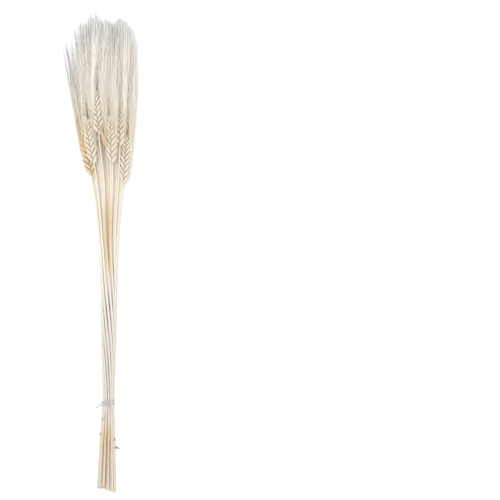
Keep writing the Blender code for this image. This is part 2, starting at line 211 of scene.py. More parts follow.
class Stalk:
    # One stalk's line through the bunch, drawn with the same dice as its CAD node
    def __init__(self, number, home, draw):
        self.dice = random.Random(bunch["seed"] * 100 + number + draw * 10000)
        self.number = number
        self.home = home
        self.roll = self.dice.uniform(-ear["roll"], ear["roll"])
        angle = self.dice.uniform(0, math.tau)
        self.wander = straw["wander"] * Vector((math.cos(angle), math.sin(angle)))
        self.buttY = straw["buttY"] - straw["buttSlant"] * self.rightness(straw["buttY"])
        self.buttY += self.dice.uniform(-straw["buttStagger"], straw["buttStagger"])
        self.jointY = straw["jointY"] + self.dice.uniform(-straw["jointStagger"], straw["jointStagger"])
        if number in shreds:
            self.jointY = shreds[number][0]
        self.earY = ear["bases"][number - 1] + self.dice.uniform(-ear["stagger"], ear["stagger"])

    def point(self, y):
        return bunchPoint(self.home + self.wander * ease(y, *straw["wanderOver"]), y)

    def rightness(self, y):
        halfWidth, _, centreX, _ = valuesAt(bunch["profile"], y)
        return (self.point(y).x - centreX) / halfWidth

    def frame(self, y, roll=0.0):
        # Point, sideways, frontways and lengthways directions at length y
        along = (self.point(y + 1) - self.point(y - 1)).normalized()
        side = along.cross(upward).normalized()
        side.rotate(Matrix.Rotation(roll, 3, along))
        return self.point(y), side, side.cross(along), along

    def lowestY(self):
        point, side, front, _ = self.frame(self.buttY)
        radius = valuesAt(straw["radii"], self.buttY)[0]
        angles = [math.tau * k / 6 for k in range(6)]
        rim = [point + (side * math.cos(a) + front * math.sin(a)) * radius for a in angles]
        return min(corner.y for corner in rim) + bunch["middle"].y


# Stalks that keep a shred of leaf sheath: length of the joint, reach outwards and fall of the tip
shreds = {8: (-265, 4.8, 5.5), 13: (-258, 4.0, 4.0), 19: (-278, 10.5, 3.0)}

# How golden each part of the straws is, from 0 to 1
tones = {
    "stalks": {8: 0.18, 9: 0.7, 10: 0.35, 11: 0.9, 14: 0.35, 18: 0.14},  # stalks that bleached less
    "otherStalks": (0.0, 0.12),
    "straw": 0.2,  # share of its stalk's tone that a straw has
    "upper": 0.14,
    "upperOver": (0, 60),
    "foot": 0.16,
    "footOver": (-235, -260),
    "stretches": {19: 0.9, 18: 0.5, 7: 0.6, 1: 0.8},  # straws with a golden stretch below the ears
    "stretchFrom": (-50, 0),
    "stretchTo": (100, 40),
    "feet": {10: 0.95, 11: 0.45, 12: 0.3, 13: 0.25},  # straws with one below the tie
    "feetOver": (-335, -305),
}


def findStalk(number, home):
    # The draw whose cut end is where the CAD node's is
    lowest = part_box(nodeName(number))[0].y / mm
    drawn = [Stalk(number, home, draw) for draw in range(bunch["draws"])]
    return min(drawn, key=lambda stalk: abs(stalk.lowestY() - lowest))


def nodeName(number):
    return f"wheat_stalk_{number:02d}"


def readAwns(node):
    # A CAD awn is a slim spike: its long triangles share the tip, and their short edges ring its base
    spikes = {}
    for face in node.data.polygons:
        a, b, c = [node.data.vertices[i].co / mm for i in face.vertices]
        for tip, left, right in ((a, b, c), (b, c, a), (c, a, b)):
            if min((tip - left).length, (tip - right).length) > awns["shortest"]:
                key = tuple(round(value, 2) for value in tip)
                spikes.setdefault(key, (tip, []))[1].extend((left, right))
    back = bunch["middle"]
    return [(sum(base, Vector()) / len(base) - back, tip - back) for tip, base in spikes.values()]


def turnOf(x, z):
    # Turn that takes local Z to z, and local X as near to x as it can
    z = z.normalized()
    x = (x - z * x.dot(z)).normalized()
    return Matrix((x, z.cross(x), z)).transposed().to_euler()


def strawTone(stalk, tone, y):
    # Straws are palest in the middle and a little more golden towards their ears and their cut ends
    stretch = ease(y, *tones["stretchFrom"]) * ease(y, *tones["stretchTo"])
    stretch *= tones["stretches"].get(stalk.number, 0)
    foot = tones["foot"] + ease(y, *tones["feetOver"]) * tones["feet"].get(stalk.number, 0)
    foot *= ease(y, *tones["footOver"])
    return tone * tones["straw"] + tones["upper"] * ease(y, *tones["upperOver"]) + foot + stretch


# What each point of a skeleton carries

skeletonData = {
    "side": "FLOAT_VECTOR",
    "front": "FLOAT_VECTOR",
    "size": "FLOAT_VECTOR",
    "bow": "FLOAT_VECTOR",
    "turn": "FLOAT_VECTOR",
    "stain": "FLOAT",
    "tone": "FLOAT",
    "isRow": "BOOLEAN",
    "isHusk": "BOOLEAN",
    "isAwn": "BOOLEAN",
}


class Skeleton:
    # The points that a stalk grows from: rings of its strands, and seats of its husks and awns
    def __init__(self, tone):
        self.points = []
        self.tone = tone

    def add(self, kind, at, side=(0, 0, 0), front=(0, 0, 0), stain=0.0, turn=(0, 0, 0), size=(0, 0, 0),
            bow=(0, 0, 0), tone=None):
        self.points.append({
            "at": at, "side": side, "front": front, "stain": stain, "turn": turn, "size": size, "bow": bow,
            "tone": self.tone if tone is None else tone, "isRow": kind == "row", "isHusk": kind == "husk",
            "isAwn": kind == "awn",
        })

    def row(self, at, side, front, stain=0.0, tone=None):
        self.add("row", at, side=side, front=front, stain=stain, tone=tone)

    def husk(self, base, tip, bulge, halfWidth, depth, tone):
        axis = tip - base
        self.add("husk", base, turn=turnOf(bulge, axis), size=(depth, halfWidth, axis.length), tone=tone)

    def awn(self, base, tip, radius, bow, tone):
        axis = tip - base
        size = (radius, radius, axis.length)
        self.add("awn", base, turn=turnOf(upward, axis), size=size, bow=bow, tone=tone)

    def mesh(self, name):
        mesh = bpy.data.meshes.new(name)
        mesh.from_pydata([(point["at"] + bunch["middle"]) * mm for point in self.points], [], [])
        for key, kind in skeletonData.items():
            attribute = mesh.attributes.new(key, kind, "POINT")
            if kind == "FLOAT_VECTOR":
                unit = 1 if key == "turn" else mm
                attribute.data.foreach_set("vector", [v * unit for point in self.points for v in point[key]])
            else:
                attribute.data.foreach_set("value", [point[key] for point in self.points])
        return mesh


# Straw: hollow cut end, one swollen joint, the rachis in the ear

jointShape = (  # distance from the joint, share of the straw's radius, stain
    (-7, 1.0, 0.0),
    (-3.4, 1.03, 0.12),
    (-1.9, 1.13, 0.3),
    (-1.1, 1.24, 0.5),
    (-0.3, 1.27, 0.65),
    (0.6, 1.22, 0.6),
    (1.3, 1.12, 0.35),
    (1.9, 1.05, 0.2),
    (4.5, 1.02, 0.1),
    (8, 1.0, 0.0),
)

buttShape = (  # distance from the cut, share of the bore's or the straw's radius, whether in the bore, stain: the cut end's own stain at the cut, and painted shade deeper inside the bore
    # Rows inside the bore: the stain rises towards the bore's floor as painted shade of the hollow
    (6.0, 0.01, True, 1.0),
    (6.0, 0.95, True, 1.0),
    (2.5, 1.0, True, 0.9),
    (0.25, 1.02, True, 0.6),
    (0.0, 1.12, True, 0.35),
    (-0.05, 0.88, False, 0.3),
    (0.12, 0.99, False, 0.25),
    (1.6, 1.0, False, 0.12),
)

closedRadius = 0.01  # a strand's ends close to almost nothing
closedShare = 0.02  # and so do a shred's and the leaf's, as a share of their width


def growStraw(skeleton, stalk, earRows):
    oval = 1 + stalk.dice.uniform(-straw["oval"], straw["oval"])
    cutLean = stalk.dice.uniform(-straw["cutLean"], straw["cutLean"])
    rows = []
    for distance, share, inBore, stain in buttShape:
        y = stalk.buttY + distance
        radius = share * (straw["boreRadius"] if inBore else valuesAt(straw["radii"], y)[0])
        rows.append((y, radius, stain, cutLean if distance < 1 else 0))
    for distance, share, stain in jointShape:
        y = stalk.jointY + distance
        rows.append((y, share * valuesAt(straw["radii"], y)[0], stain, 0))
    start = rows[-1][0]
    count = straw["rows"] - len(rows) - len(earRows)
    for k in range(1, count + 1):
        y = start + (stalk.earY - start) * k / (count + 1)
        stain = straw["earStain"] * ease(y, *straw["earStainOver"])
        rows.append((y, valuesAt(straw["radii"], y)[0], stain, 0))
    for y, radius, stain, lean in rows:
        point, side, front, along = stalk.frame(y)
        tone = strawTone(stalk, skeleton.tone, y)
        skeleton.row(point, (side + along * lean) * radius * oval, front * radius / oval, stain, tone)
    for row in earRows:
        skeleton.row(*row)


sleeve = {
    "startsAbove": 1.5,  # over the joint
    "lengths": (14, 58),
    "tear": 1.6,  # most that the torn end leans
    "inside": 0.12,  # room between the straw and the inner face
    "thickness": 0.3,
    "flare": 0.12,
    "stain": (0.15, 0.4),  # all along, and what is added at the tear
    "turnedIn": 4,  # rows that go back down the inside
}


def growSleeve(skeleton, stalk):
    # Papery foot of a stripped leaf, which wraps the straw above the joint and ends in a slanting tear
    length = stalk.dice.uniform(*sleeve["lengths"])
    tear = stalk.dice.uniform(-sleeve["tear"], sleeve["tear"])
    stainAlong, stainAdded = sleeve["stain"]
    count = straw["rows"]
    lastOutside = count - sleeve["turnedIn"]
    for k in range(count):
        reach = min(k / lastOutside, 1.0)
        y = stalk.jointY + sleeve["startsAbove"] + length * reach
        (radius,) = valuesAt(straw["radii"], y)
        if k == 0 or k == count - 1:
            radius = closedRadius
        elif k > lastOutside:
            radius += sleeve["inside"]
        else:
            radius += sleeve["thickness"] * ease(reach, 0, 0.05) + sleeve["flare"] * ease(reach, 0.8, 1)
        point, side, front, along = stalk.frame(y)
        lean = tear * ease(reach, 0.7, 1)
        stain = stainAlong + stainAdded * ease(reach, 0.9, 1)
        tone = strawTone(stalk, skeleton.tone, y)
        skeleton.row(point, (side + along * lean) * radius, front * radius, stain, tone)


shred = {
    "halfWidth": (1.3, 1.2),  # at the root, and what is added further out
    "rise": (0.35, 0.8),  # with its reach, and with the square of its share
    "curl": 0.9,
    "halfThickness": 0.17,
    "stain": (1.6, 0.6),  # at the root, and what is added at the tip
    "torn": ((0.1, 17), (0.05, 47)),  # height and pace of the waves of its edge
}


def raggedAt(share, waves):
    # How much wider or narrower a torn edge makes a shred at this share of its length
    return 1 + sum(height * math.sin(share * pace) for height, pace in waves)


def growShred(skeleton, stalk):
    # Dry curled shred of sheath that stands out from the joint
    _, reach, fall = shreds[stalk.number]
    (rootWidth, addedWidth), (evenRise, endRise) = shred["halfWidth"], shred["rise"]
    rootStain, addedStain = shred["stain"]
    hand = math.copysign(1, stalk.rightness(stalk.jointY))
    point, side, _, _ = stalk.frame(stalk.jointY + sleeve["startsAbove"])
    (radius,) = valuesAt(straw["radii"], stalk.jointY)
    start = point + side * hand * radius * 0.5
    count = straw["rows"]
    for k in range(count):
        share = k / (count - 1)
        rise = evenRise * reach * share + endRise * share**2
        centre = start + Vector((hand * reach * share, -fall * share**2, rise))
        torn = raggedAt(share, shred["torn"])
        halfWidth = (rootWidth + addedWidth * ease(share, 0, 0.3) * torn) * (1 - share) ** 0.6
        curl = shred["curl"] * math.sin(share * 2.2)
        wide = Vector((math.sin(curl) * -hand * 0.5, math.cos(curl), math.sin(curl)))
        thin = Vector((-hand * 0.5, 0, 0.8))
        thin = (thin - wide * thin.dot(wide) / wide.length_squared).normalized()
        closing = closedShare if k in (0, count - 1) else 1
        stain = rootStain + addedStain * share
        skeleton.row(centre, wide * halfWidth * closing, thin * shred["halfThickness"] * closing, stain)


# The one leaf blade that is left, on stalk 7

leaf = {
    "stalk": 7,
    "route": (
        (14.5, 143, 33.5), (12.0, 149, 42.0), (9.0, 158, 47.5),
        (5.4, 169, 51.0), (2.0, 180, 53.0), (-1.4, 191, 53.6),
    ),
    "halfWidths": (  # share of the length, half width
        (0, 0.7), (0.1, 1.5), (0.22, 2.7), (0.36, 3.3), (0.5, 2.9), (0.66, 1.8), (0.82, 0.8), (1, 0.2),
    ),
    "halfThickness": 0.16,
    "twist": 1.1,
    "torn": ((0.05, 31), (0.03, 83)),
}


def growLeaf(skeleton):
    # Dry golden tip of a leaf blade, which shows between the ears
    count = straw["rows"]
    route = [(k, *point) for k, point in enumerate(leaf["route"])]
    for k in range(count):
        share = k / (count - 1)
        behind, centre, ahead = [
            Vector(valuesAt(route, route[-1][0] * (share + step))) for step in (-0.02, 0, 0.02)
        ]
        along = (ahead - behind).normalized()
        roll = leaf["twist"] * (share - 0.3)
        wide = along.cross(upward).normalized()
        wide.rotate(Matrix.Rotation(roll, 3, along))
        thin = wide.cross(along)
        (halfWidth,) = valuesAt(leaf["halfWidths"], share)
        halfWidth *= raggedAt(share, leaf["torn"])
        closing = closedShare if k in (0, count - 1) else 1
        stain = 0.8 + 0.75 * abs(share - 0.4)
        skeleton.row(centre, wide * halfWidth * closing, thin * leaf["halfThickness"] * closing, stain, 1.0)


# Ear: husks in two rows up a zigzag rachis

husks = {  # half width and depth of each, and its places as out from the rachis, to the front and up
    "lemma": (2.5, 2.5),
    "lemmaFoot": (1.0, 0.7, 0.3),
    "glume": (2.2, 1.9),
    "glumeFoot": (0.3, 1.5, -0.9),
    "glumeTip": (5.2, 3.0, 8.9),
    "glumeVaries": (0.3, 0.3, 0.5),
    "middle": (2.1, 2.2),
    "middleFoot": (1.8, 0, 2.2),
    "middleTip": (6.5, 0, 12.6),
    "middleVaries": (0.4, 0.5, 0.6),
    "last": ((0, 11.5, 1.7), (180, 11, 1.7), (90, 9.5, 1.5), (270, 9.5, 1.5)),  # angle, length, half width
    "lastDepth": 1.5,
    "lastSpread": (0.5, 1.9),  # from the axis, at the foot and at the tip
    "toneVaries": 0.12,
}


def growEar(skeleton, stalk):
    # Sets the seats of the husks and awns. Returns the rows of the rachis.
    cadAwns = readAwns(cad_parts[nodeName(stalk.number)])
    rows = []
    florets = []
    y = stalk.earY
    for pair in range(ear["pairs"]):
        share = (pair + 0.5) / ear["pairs"]
        size = 1 - ear["tipTaper"] * share**2
        step = ear["pairStep"] * size
        for hand, at in ((1, y + step * 0.5), (-1, y + step)):
            florets += growSpikelet(skeleton, stalk, at, size, hand, share)
            for shift, swell in ((-0.22, 1.15), (0.0, 0.95)):
                point, side, front, _ = stalk.frame(at + shift * step, stalk.roll)
                radius = ear["rachisRadius"] * (1 - ear["rachisTaper"] * share) * swell
                point += side * hand * ear["rachisZigzag"]
                rows.append((point, side * radius * 1.2, front * radius, 0.5))
        y += step
    y += step / 2
    rows += growTip(skeleton, stalk, y, florets)
    for neck, core, length in florets:
        found = [awn for awn in cadAwns if (awn[0] - neck).length < awns["sameWithin"]]
        growAwns(skeleton, stalk, neck, core, length, found[0] if found else None)
    return rows


def growSpikelet(skeleton, stalk, y, size, hand, share):
    # Two glumes, two lemmas that carry awns, and a smaller floret between them
    dice = stalk.dice
    centre, side, front, along = stalk.frame(y, stalk.roll)
    out, front = side * hand, front * hand
    length = awns["lengthLow"] + (awns["lengthTop"] - awns["lengthLow"]) * share
    florets = []
    for lean in (1, -1):
        core = centre + along * ear["neckAlong"] * size
        shift = out * dice.uniform(*ear["neckOut"]) + front * dice.uniform(*ear["neckFront"]) * lean
        awnLength = length + dice.uniform(-awns["lengthVaries"], awns["lengthVaries"])
        florets.append((core + shift * size, core, awnLength))

    looks = random.Random(stalk.number * 1000 + int(y * 10))

    def varied(place, most):
        return [value + looks.uniform(-limit, limit) for value, limit in zip(place, most)]

    def spot(place, lean=1):
        outwards, frontwards, lengthways = place
        return centre + (out * outwards + front * frontwards * lean + along * lengthways) * size

    def husk(kind, foot, tip, bulge, tone):
        halfWidth, depth = husks[kind]
        skeleton.husk(foot, tip, bulge, halfWidth * size, depth * size, tone)

    for lean, (neck, _, _) in zip((1, -1), florets):
        lemmaTone, glumeTone = [skeleton.tone + looks.uniform(-1, 1) * husks["toneVaries"] for _ in range(2)]
        bulge = front * lean * 0.85 + out * 0.5
        husk("lemma", spot(husks["lemmaFoot"], lean), neck, bulge, lemmaTone)
        tip = spot(varied(husks["glumeTip"], husks["glumeVaries"]), lean)
        husk("glume", spot(husks["glumeFoot"], lean), tip, bulge + out * 0.3, glumeTone)
    top = spot(varied(husks["middleTip"], husks["middleVaries"]))
    tone = skeleton.tone + looks.uniform(-1, 1) * husks["toneVaries"]
    husk("middle", spot(husks["middleFoot"]), top, out, tone)
    for _ in range(awns["middleCount"]):
        growFineAwn(skeleton, looks, top, spot((0, 0, ear["neckAlong"])), length)
    return florets


def growTip(skeleton, stalk, y, florets):
    # The last spikelet stands across the others
    neck, side, front, along = stalk.frame(y + ear["lastLength"])
    base, tipSide, tipFront, _ = stalk.frame(y - 2, stalk.roll)
    florets.append((neck, base, awns["lengthTop"]))
    looks = random.Random(stalk.number * 77)
    footOut, tipOut = husks["lastSpread"]
    for angle, length, halfWidth in husks["last"]:
        out = tipFront * math.cos(math.radians(angle)) + tipSide * math.sin(math.radians(angle))
        tip = base + along * length + out * tipOut
        skeleton.husk(base + out * footOut, tip, out, halfWidth, husks["lastDepth"], skeleton.tone)
        for _ in range(awns["tipCount"]):
            growFineAwn(skeleton, looks, tip, base + along * length, awns["lengthTop"])
    rows = []
    for height, radius in (*ear["lastRachis"], (ear["lastRachisEnd"], closedRadius)):
        rows.append((base + along * height, side * radius, front * radius, 0.3))
    return rows


def crownAt(x):
    return valuesAt(awns["crown"], x + bunch["middle"].x)[0] - bunch["middle"].y


def joinFan(neck, tip, looks, share):
    # Left of the fan's start a share of the tips stay and gather in strands, and the others lean inwards
    beyond = awns["fanFrom"] - bunch["middle"].x - tip.x
    if beyond <= 0:
        return False
    if neck.y < awns["fanFeet"] or looks.random() > share:
        tip.x += beyond * looks.uniform(*awns["fanLean"])
        tip.y += (crownAt(tip.x) - tip.y) * looks.uniform(0, awns["fanLift"])
        return False
    nearest = min(awns["fanStrands"], key=lambda x: abs(x - bunch["middle"].x - tip.x))
    tip.x = nearest - bunch["middle"].x + looks.uniform(-awns["strandHalf"], awns["strandHalf"])
    tip.y = crownAt(tip.x) - looks.random() * awns["combDepth"]
    return True


def joinComb(tip, looks):
    # Tips gather into points of uneven height, so the brush ends in a ragged comb
    point = round(tip.x / awns["combPitch"])
    tip.x += (point * awns["combPitch"] - tip.x) * looks.uniform(*awns["combGather"])
    drop = random.Random(point).random() ** awns["combSkew"] * awns["combDepth"]
    drop += looks.random() ** awns["crownSkew"] * awns["crownDepth"]
    tip.y = min(tip.y, crownAt(tip.x) - drop)


def setAwn(skeleton, looks, neck, core, tip, radius, bow):
    # From just inside its husk to its tip, swayed at its middle and arched clear of the husks
    sway = Vector((looks.uniform(-1, 1), 0, looks.uniform(-1, 1))) * bow
    sway.z += math.copysign(awns["arch"], neck.z - core.z)
    tuck = (tip - neck).normalized() * awns["tuck"]
    tone = skeleton.tone + looks.uniform(-1, 1) * awns["toneVaries"]
    skeleton.awn(neck - tuck, tip, radius, sway, tone)


def growFineAwn(skeleton, looks, neck, core, length):
    start = placeOf(core)
    start += (placeOf(neck) - start) * looks.uniform(*awns["fineSpread"])
    angle = looks.uniform(0, math.tau)
    start += Vector((math.cos(angle), math.sin(angle))) * awns["stray"] * looks.random()
    if start.length > awns["edge"]:
        start *= awns["edge"] / start.length
    tip = bunchPoint(start, neck.y + length * looks.uniform(*awns["fineShare"]))
    if not joinFan(neck, tip, looks, awns["fanFine"]):
        joinComb(tip, looks)
    setAwn(skeleton, looks, neck, core, tip, awns["fineRadius"], awns["bow"])


def growAwns(skeleton, stalk, neck, core, length, cadAwn):
    looks = random.Random(int(neck.y * 100) + stalk.number)
    if cadAwn:
        tip = cadAwn[1]
        if not joinFan(neck, tip, looks, awns["fanMain"]):
            tip.y = min(tip.y, crownAt(tip.x) + looks.uniform(-awns["mainDepth"], 0))
        setAwn(skeleton, looks, neck, core, tip, awns["radius"], awns["mainBow"])
    for _ in range(awns["fineCount"]):
        growFineAwn(skeleton, looks, neck, core, length)


# Shapes that are set in the ear many times over

def ringShape(name, rings, attributes):
    # A closed shape of rings, one above another. Only Geometry Nodes read it, and it is removed at the end.
    sides = len(rings[0])
    faces = []
    for r in range(len(rings) - 1):
        for k in range(sides):
            n = (k + 1) % sides
            faces.append((r * sides + k, r * sides + n, (r + 1) * sides + n, (r + 1) * sides + k))
    faces.append(tuple(reversed(range(sides))))
    faces.append(tuple(range((len(rings) - 1) * sides, len(rings) * sides)))
    mesh = bpy.data.meshes.new(name)
    mesh.from_pydata([point for ring in rings for point in ring], [], faces)
    for key, values in attributes.items():
        mesh.attributes.new(key, "FLOAT", "POINT").data.foreach_set("value", values)
    source = bpy.data.objects.new(name, mesh)
    bpy.context.scene.collection.objects.link(source)
    return source


def huskShape(sides=8, keel=1.12, innerDepth=0.4):
    # One boat-shaped husk: bulging along +X, widest at +Y and -Y, from its foot at z 0 to its point at z 1
    profile = (  # height, half width, depth
        (0.0, 0.3, 0.35), (0.1, 0.68, 0.62), (0.25, 0.95, 0.9), (0.42, 1.0, 1.0), (0.6, 0.86, 0.84),
        (0.76, 0.58, 0.58), (0.9, 0.27, 0.3), (1.0, 0.11, 0.12),
    )
    angles = [math.tau * k / sides for k in range(sides)]
    rings = []
    for height, wide, deep in profile:
        ring = []
        for k, angle in enumerate(angles):
            outward = math.cos(angle) * (1.0 if math.cos(angle) > 0 else innerDepth)
            ring.append((outward * deep * (keel if k == 0 else 1.0), math.sin(angle) * wide, height))
        rings.append(ring)
    along = [row[0] for row in profile for _ in angles]
    across = [math.sin(angle) for _ in profile for angle in angles]
    return ringShape("huskShape", rings, {"along": along, "across": across})


def awnShape(sides=3):
    profile = ((0.0, 1.0), (0.3, 0.9), (0.65, 0.8), (0.92, 0.55), (1.0, 0.15))  # height, radius
    angles = [math.tau * k / sides for k in range(sides)]
    rings = []
    for height, radius in profile:
        rings.append([(math.cos(angle) * radius, math.sin(angle) * radius, height) for angle in angles])
    return ringShape("awnShape", rings, {"along": [row[0] for row in profile for _ in angles]})


# Node trees

def setInputs(node, inputs):
    # An input is given a value, a socket, a node whose first live output it takes, or a list of those
    for name, value in inputs.items():
        for one in value if isinstance(value, list) else [value]:
            if isinstance(one, bpy.types.Node):
                one = next(socket for socket in one.outputs if socket.enabled)
            if isinstance(one, bpy.types.NodeSocket):
                node.id_data.links.new(one, node.inputs[name])
            else:
                node.inputs[name].default_value = one


def addNode(tree, kind, inputs=None, **settings):
    node = tree.nodes.new(kind)
    for name, value in settings.items():
        setattr(node, name, value)
    setInputs(node, inputs or {})
    return node


def newTree(name, inputs):
    tree = bpy.data.node_groups.new(name, "GeometryNodeTree")
    for label, kind in inputs.items():
        tree.interface.new_socket(label, in_out="INPUT", socket_type="NodeSocket" + kind)
    tree.interface.new_socket("Result", in_out="OUTPUT", socket_type="NodeSocketGeometry")
    return tree


def stalkTree():
    # Skins the strands ring by ring, and sets the husks and awns on their seats
    tree = newTree("wheatStalk", {
        "Skeleton": "Geometry", "Rows": "Int", "Sides": "Int", "Weld": "Float", "Lowest": "Float",
        "Husk": "Object", "Awn": "Object",
        "Straw Material": "Material", "Husk Material": "Material", "Awn Material": "Material",
    })
    add = partial(addNode, tree)
    given = add("NodeGroupInput").outputs
    read = {}
    for key, kind in {**skeletonData, "along": "FLOAT"}.items():
        read[key] = add("GeometryNodeInputNamedAttribute", {"Name": key}, data_type=kind)
    parts = {}
    for key in ("isRow", "isHusk", "isAwn"):
        chosen = {"Geometry": given["Skeleton"], "Selection": read[key]}
        parts[key] = add("GeometryNodeSeparateGeometry", chosen, domain="POINT")

    # One grid for each strand. Its columns go round the strand, and its rows are the strand's rings.
    rings = parts["isRow"]
    columns = add("FunctionNodeIntegerMath", {0: given["Sides"], 1: 1}, operation="ADD")
    grid = add("GeometryNodeMeshGrid", {"Vertices X": given["Rows"], "Vertices Y": columns})
    ringCount = add("GeometryNodeAttributeDomainSize", {"Geometry": rings}, component="MESH")
    strands = {0: ringCount.outputs["Point Count"], 1: given["Rows"]}
    strands = add("FunctionNodeIntegerMath", strands, operation="DIVIDE_ROUND")
    seats = add("GeometryNodePoints", {"Count": strands})
    grids = add("GeometryNodeInstanceOnPoints", {"Points": seats, "Instance": grid})
    skin = add("GeometryNodeRealizeInstances", {0: grids})
    index = add("GeometryNodeInputIndex")
    ring = add("FunctionNodeIntegerMath", {0: index, 1: columns}, operation="DIVIDE_FLOOR")
    column = add("FunctionNodeIntegerMath", {0: index, 1: columns}, operation="MODULO")
    share = add("ShaderNodeMath", {0: column, 1: given["Sides"]}, operation="DIVIDE")
    angle = add("ShaderNodeMath", {0: share, 1: math.tau}, operation="MULTIPLY")
    position = add("GeometryNodeInputPosition")
    sampled = {}
    for key in ("centre", "side", "front", "stain", "tone"):
        field = {"Geometry": rings, "Value": read.get(key, position), "Index": ring}
        kind = skeletonData.get(key, "FLOAT_VECTOR")
        sampled[key] = add("GeometryNodeSampleIndex", field, data_type=kind, domain="POINT")
    place = sampled["centre"]
    for key, operation in (("side", "COSINE"), ("front", "SINE")):
        amount = add("ShaderNodeMath", {0: angle}, operation=operation)
        reach = add("ShaderNodeVectorMath", {0: sampled[key], "Scale": amount}, operation="SCALE")
        place = add("ShaderNodeVectorMath", {0: place, 1: reach}, operation="ADD")
    for key in ("stain", "tone"):
        stored = {"Geometry": skin, "Name": key, "Value": sampled[key]}
        skin = add("GeometryNodeStoreNamedAttribute", stored, data_type="FLOAT", domain="POINT")
    skin = add("GeometryNodeSetPosition", {"Geometry": skin, "Position": place})
    skin = add("GeometryNodeMergeByDistance", {"Geometry": skin, "Distance": given["Weld"]})
    skin = add("GeometryNodeSetMaterial", {"Geometry": skin, "Material": given["Straw Material"]})

    grown = [skin]
    turn = add("FunctionNodeEulerToRotation", {0: read["turn"]})
    for shape in ("Husk", "Awn"):
        source = add("GeometryNodeObjectInfo", {"Object": given[shape]}).outputs["Geometry"]
        placed = {"Points": parts["is" + shape], "Instance": source, "Rotation": turn, "Scale": read["size"]}
        placed = add("GeometryNodeInstanceOnPoints", placed)
        placed = add("GeometryNodeRealizeInstances", {0: placed})
        finish = {"Geometry": placed, "Material": given[shape + " Material"]}
        grown.append(add("GeometryNodeSetMaterial", finish))

    # An awn's bow is nothing at its ends and whole at its middle
    left = add("ShaderNodeMath", {0: 1.0, 1: read["along"]}, operation="SUBTRACT")
    hump = add("ShaderNodeMath", {0: read["along"], 1: left}, operation="MULTIPLY")
    hump = add("ShaderNodeMath", {0: hump, 1: 4.0}, operation="MULTIPLY")
    bowed = add("ShaderNodeVectorMath", {0: read["bow"], "Scale": hump}, operation="SCALE")
    grown[2] = add("GeometryNodeSetPosition", {"Geometry": grown[2], "Offset": bowed})

    # What lies on the surface is pressed flat on it
    joined = add("GeometryNodeJoinGeometry", {0: grown})
    xyz = add("ShaderNodeSeparateXYZ", {0: position}).outputs
    height = add("ShaderNodeMath", {0: xyz[2], 1: given["Lowest"]}, operation="MAXIMUM")
    pressed = add("ShaderNodeCombineXYZ", {0: xyz[0], 1: xyz[1], 2: height})
    joined = add("GeometryNodeSetPosition", {"Geometry": joined, "Position": pressed})
    joined = add("GeometryNodeSetShadeSmooth", {"Geometry": joined})
    add("NodeGroupOutput", {0: joined})
    return tree


def twineTree(plyCount=3):
    # Lays the plies round each path, and opens them where the path's splay rises
    tree = newTree("twine", {
        "Paths": "Geometry", "Step": "Float", "Lay": "Float", "Ply Radius": "Float", "Ply Offset": "Float",
        "Material": "Material",
    })
    add = partial(addNode, tree)
    given = add("NodeGroupInput").outputs
    splay = add("GeometryNodeInputNamedAttribute", {"Name": "splay"}, data_type="FLOAT")
    paths = add("GeometryNodeMeshToCurve", {0: given["Paths"]})
    paths = add("GeometryNodeResampleCurve", {"Curve": paths, "Length": given["Step"]}, mode="LENGTH")
    length = add("GeometryNodeSplineParameter").outputs["Length"]
    turns = add("ShaderNodeMath", {0: length, 1: given["Lay"]}, operation="DIVIDE")
    normal = add("GeometryNodeInputNormal")
    tangent = add("GeometryNodeInputTangent")
    sideways = add("ShaderNodeVectorMath", {0: tangent, 1: normal}, operation="CROSS_PRODUCT")
    opened = add("ShaderNodeMath", {0: splay, 1: 1.0}, operation="ADD")
    reach = add("ShaderNodeMath", {0: opened, 1: given["Ply Offset"]}, operation="MULTIPLY")
    profile = add("GeometryNodeCurvePrimitiveCircle", {"Resolution": 7, "Radius": given["Ply Radius"]})
    plies = []
    for ply in range(plyCount):
        share = add("ShaderNodeMath", {0: turns, 1: ply / plyCount}, operation="ADD")
        angle = add("ShaderNodeMath", {0: share, 1: math.tau}, operation="MULTIPLY")
        shifts = []
        for direction, operation in ((normal, "COSINE"), (sideways, "SINE")):
            amount = add("ShaderNodeMath", {0: angle}, operation=operation)
            amount = add("ShaderNodeMath", {0: amount, 1: reach}, operation="MULTIPLY")
            shift = {0: direction, "Scale": amount}
            shifts.append(add("ShaderNodeVectorMath", shift, operation="SCALE"))
        offset = add("ShaderNodeVectorMath", {0: shifts[0], 1: shifts[1]}, operation="ADD")
        strand = add("GeometryNodeSetPosition", {"Geometry": paths, "Offset": offset})
        skinned = {"Curve": strand, "Profile Curve": profile, "Fill Caps": True}
        plies.append(add("GeometryNodeCurveToMesh", skinned))
    joined = add("GeometryNodeJoinGeometry", {0: plies})
    joined = add("GeometryNodeRealizeInstances", {0: joined})
    joined = add("GeometryNodeSetShadeSmooth", {"Geometry": joined})
    joined = add("GeometryNodeSetMaterial", {"Geometry": joined, "Material": given["Material"]})
    add("NodeGroupOutput", {0: joined})
    return tree


def grow(name, skeleton, tree, values):
    # Runs a tree on a skeleton and keeps the result as a plain mesh
    piece = bpy.data.objects.new(name, skeleton)
    bpy.context.scene.collection.objects.link(piece)
    modifier = piece.modifiers.new("growth", "NODES")
    modifier.node_group = tree
    for socket in tree.interface.items_tree:
        if socket.in_out == "INPUT" and socket.name in values:
            modifier[socket.identifier] = values[socket.name]
    graph = bpy.context.evaluated_depsgraph_get()
    grown = bpy.data.meshes.new_from_object(
        piece.evaluated_get(graph), preserve_all_data_layers=True, depsgraph=graph
    )
    piece.modifiers.remove(modifier)
    piece.data = grown
    grown.name = name
    for key in (*skeletonData, "splay"):
        if key in grown.attributes and key not in ("stain", "tone"):
            grown.attributes.remove(grown.attributes[key])
    return piece


# Materials

